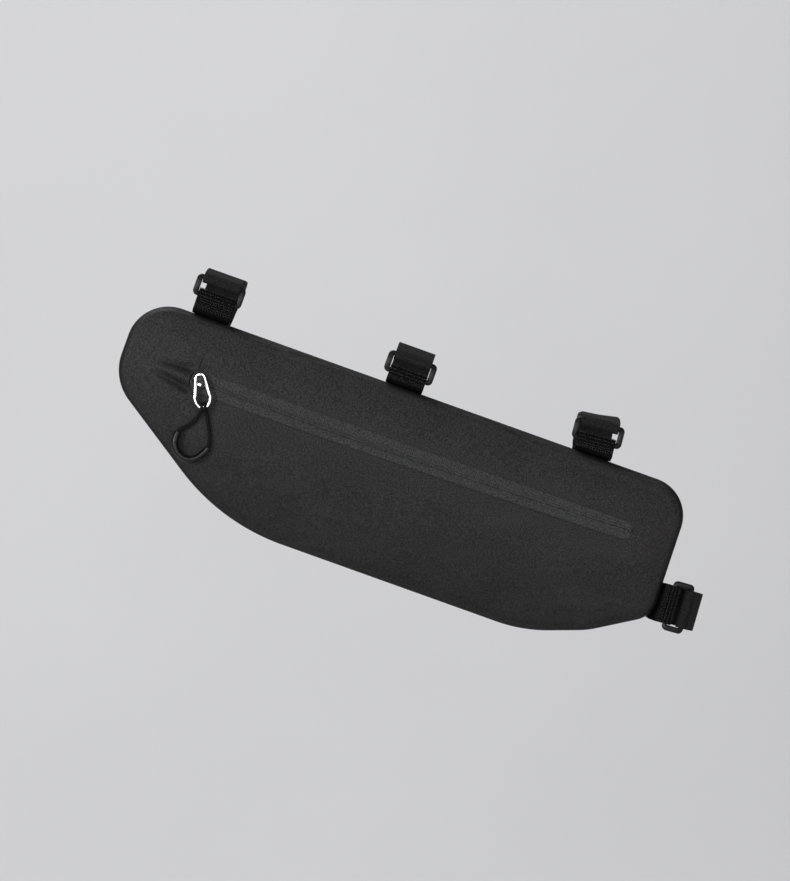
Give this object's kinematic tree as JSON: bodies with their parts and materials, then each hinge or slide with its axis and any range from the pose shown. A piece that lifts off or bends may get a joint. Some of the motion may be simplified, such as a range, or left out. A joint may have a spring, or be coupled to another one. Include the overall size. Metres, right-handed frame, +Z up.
{
  "type": "bicycle frame bag",
  "caption": "Waterproof bicycle frame bag: a long tapered shell of coated fabric with a laminated zip, hung under a sloping top tube by hook-and-loop straps with moulded rings.",
  "frame": {"origin": "middle of the passage that the middle strap leaves for the bicycle's top tube", "axes": "+X towards the rear of the bicycle, +Y away from the side with the zip, +Z up, with the bag at the slope at which it hangs"},
  "size_m": [0.3794, 0.0672, 0.2366],
  "materials": {
    "coated_fabric": "matte coated weave",
    "laminated_tape": "satin laminate over fine ribs",
    "bright_metal": "polished",
    "black_cord": "braided",
    "black_rubber": "satin",
    "loop_pile": "looped pile",
    "moulded_plastic": "satin",
    "woven_strap": "ribbed weave"
  },
  "bodies": {
    "root": {"bag_shell": "coated_fabric", "zip_tape_upper": "laminated_tape", "zip_tape_lower": "laminated_tape", "zip_slider": "bright_metal", "zip_puller": "bright_metal", "zip_end_stop": "moulded_plastic", "puller_cord": "black_cord", "cord_hitch": "black_cord", "cord_sleeve": "black_rubber", "strap_front_base": "loop_pile", "strap_front_ring": "moulded_plastic", "strap_front_wrap": "woven_strap", "strap_middle_base": "loop_pile", "strap_middle_ring": "moulded_plastic", "strap_middle_wrap": "woven_strap", "strap_rear_base": "loop_pile", "strap_rear_ring": "moulded_plastic", "strap_rear_wrap": "woven_strap", "strap_seat_base": "loop_pile", "strap_seat_ring": "moulded_plastic", "strap_seat_wrap": "woven_strap"}
  },
  "joints": []
}
